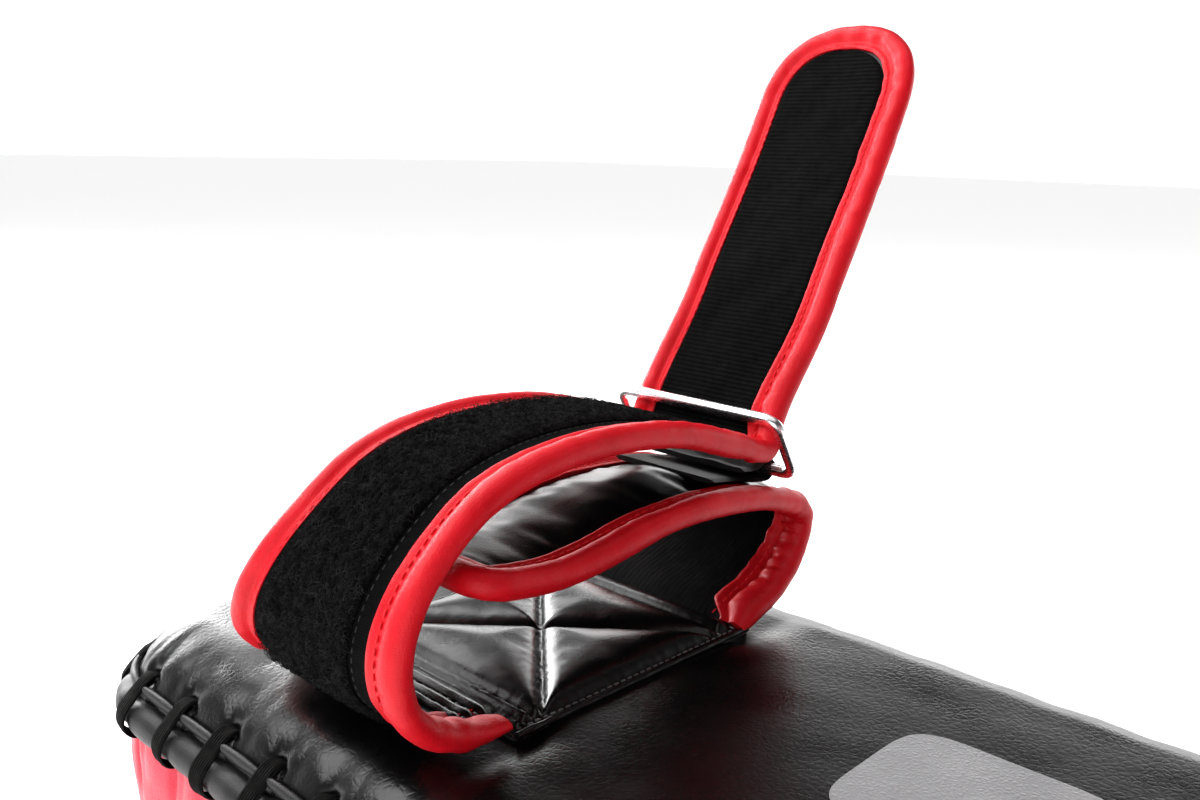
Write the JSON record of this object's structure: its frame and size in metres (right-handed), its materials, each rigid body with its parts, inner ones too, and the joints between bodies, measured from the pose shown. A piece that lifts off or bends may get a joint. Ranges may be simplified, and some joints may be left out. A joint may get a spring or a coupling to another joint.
{
  "type": "thai pad",
  "caption": "Padded forearm strike shield with a laced seam, quilted forearm cuffs that close with a ring and a hook-and-loop tongue, and a padded hand grip.",
  "frame": {"origin": "centre of the flat striking face, which lies on the floor", "axes": "+X along the pad towards the hand end, +Y across the pad towards the rings, +Z out of the back, towards the forearm"},
  "size_m": [0.4968, 0.255, 0.3066],
  "materials": {
    "back_leather": "gloss",
    "striking_leather": "gloss",
    "red_side_leather": "satin",
    "piping_leather": "satin",
    "cushion_leather": "gloss",
    "flap_leather": "gloss",
    "strap_leather": "satin",
    "handle_leather": "satin",
    "red_binding": "satin",
    "loop_pile": "matte",
    "hook_tape": "matte",
    "lining_cloth": "matte",
    "lace_cord": "matte",
    "chromed_ring": "polished",
    "dense_foam": "matte",
    "soft_foam": "matte"
  },
  "bodies": {
    "pad": {"back_panel": "back_leather", "striking_panel": "striking_leather", "side_band": "red_side_leather", "foam_striking_dense": "dense_foam", "foam_core": "soft_foam", "foam_back_soft": "soft_foam", "seam_piping": "piping_leather", "seam_lace": "lace_cord", "handle_cover": "handle_leather", "handle_core": "dense_foam", "handle_tab_near": "handle_leather", "handle_tab_far": "handle_leather", "elbow_cushion_cover": "cushion_leather", "elbow_cushion_foam": "soft_foam", "elbow_strap_band": "strap_leather", "elbow_loop_panel": "loop_pile", "elbow_strap_binding_near": "red_binding", "elbow_strap_binding_far": "red_binding", "elbow_flap_cover": "flap_leather", "elbow_flap_lining": "lining_cloth", "elbow_flap_binding": "red_binding", "elbow_ring_keeper": "strap_leather", "wrist_cushion_cover": "cushion_leather", "wrist_cushion_foam": "soft_foam", "wrist_strap_band": "strap_leather", "wrist_loop_panel": "loop_pile", "wrist_strap_binding_near": "red_binding", "wrist_strap_binding_far": "red_binding", "wrist_flap_cover": "flap_leather", "wrist_flap_lining": "lining_cloth", "wrist_flap_binding": "red_binding", "wrist_ring_keeper": "strap_leather"},
    "elbow_ring": {"elbow_ring": "chromed_ring"},
    "elbow_tongue_root": {"elbow_tongue_root_backing": "strap_leather", "elbow_tongue_root_hook_tape": "hook_tape", "elbow_tongue_root_binding_near": "red_binding", "elbow_tongue_root_binding_far": "red_binding"},
    "elbow_tongue_middle": {"elbow_tongue_middle_backing": "strap_leather", "elbow_tongue_middle_hook_tape": "hook_tape", "elbow_tongue_middle_binding_near": "red_binding", "elbow_tongue_middle_binding_far": "red_binding"},
    "elbow_tongue_tip": {"elbow_tongue_tip_backing": "strap_leather", "elbow_tongue_tip_hook_tape": "hook_tape", "elbow_tongue_tip_binding": "red_binding"},
    "wrist_ring": {"wrist_ring": "chromed_ring"},
    "wrist_tongue_root": {"wrist_tongue_root_backing": "strap_leather", "wrist_tongue_root_hook_tape": "hook_tape", "wrist_tongue_root_binding_near": "red_binding", "wrist_tongue_root_binding_far": "red_binding"},
    "wrist_tongue_middle": {"wrist_tongue_middle_backing": "strap_leather", "wrist_tongue_middle_hook_tape": "hook_tape", "wrist_tongue_middle_binding_near": "red_binding", "wrist_tongue_middle_binding_far": "red_binding"},
    "wrist_tongue_tip": {"wrist_tongue_tip_backing": "strap_leather", "wrist_tongue_tip_hook_tape": "hook_tape", "wrist_tongue_tip_binding": "red_binding"}
  },
  "joints": [
    {"name": "elbow_ring_swing", "type": "hinge", "parent": "pad", "child": "elbow_ring", "pos_m": [-0.1074, 0.07608, 0.14882], "axis": [1, 0, 0], "range_deg": [-18, 0]},
    {"name": "elbow_tongue_fold", "type": "hinge", "parent": "elbow_ring", "child": "elbow_tongue_root", "pos_m": [-0.1074, 0.0628, 0.17], "axis": [1, 0, 0], "range_deg": [-75, 110]},
    {"name": "elbow_tongue_curl_middle", "type": "hinge", "parent": "elbow_tongue_root", "child": "elbow_tongue_middle", "pos_m": [-0.1074, 0.09085, 0.21187], "axis": [1, 0, 0], "range_deg": [-6, 9]},
    {"name": "elbow_tongue_curl_tip", "type": "hinge", "parent": "elbow_tongue_middle", "child": "elbow_tongue_tip", "pos_m": [-0.1074, 0.11487, 0.25573], "axis": [1, 0, 0], "range_deg": [-15, 21]},
    {"name": "wrist_ring_swing", "type": "hinge", "parent": "pad", "child": "wrist_ring", "pos_m": [0.1356, 0.07608, 0.14882], "axis": [1, 0, 0], "range_deg": [-18, 0]},
    {"name": "wrist_tongue_fold", "type": "hinge", "parent": "wrist_ring", "child": "wrist_tongue_root", "pos_m": [0.1356, 0.0628, 0.17], "axis": [1, 0, 0], "range_deg": [-75, 110]},
    {"name": "wrist_tongue_curl_middle", "type": "hinge", "parent": "wrist_tongue_root", "child": "wrist_tongue_middle", "pos_m": [0.1356, 0.09085, 0.21187], "axis": [1, 0, 0], "range_deg": [-6, 9]},
    {"name": "wrist_tongue_curl_tip", "type": "hinge", "parent": "wrist_tongue_middle", "child": "wrist_tongue_tip", "pos_m": [0.1356, 0.11487, 0.25573], "axis": [1, 0, 0], "range_deg": [-15, 21]}
  ],
  "couplings": [
    {"joint": "elbow_tongue_curl_middle", "follows": "elbow_tongue_fold", "ratio": 0.05455},
    {"joint": "elbow_tongue_curl_tip", "follows": "elbow_tongue_fold", "ratio": 0.16364},
    {"joint": "wrist_tongue_curl_middle", "follows": "wrist_tongue_fold", "ratio": 0.05455},
    {"joint": "wrist_tongue_curl_tip", "follows": "wrist_tongue_fold", "ratio": 0.16364}
  ]
}
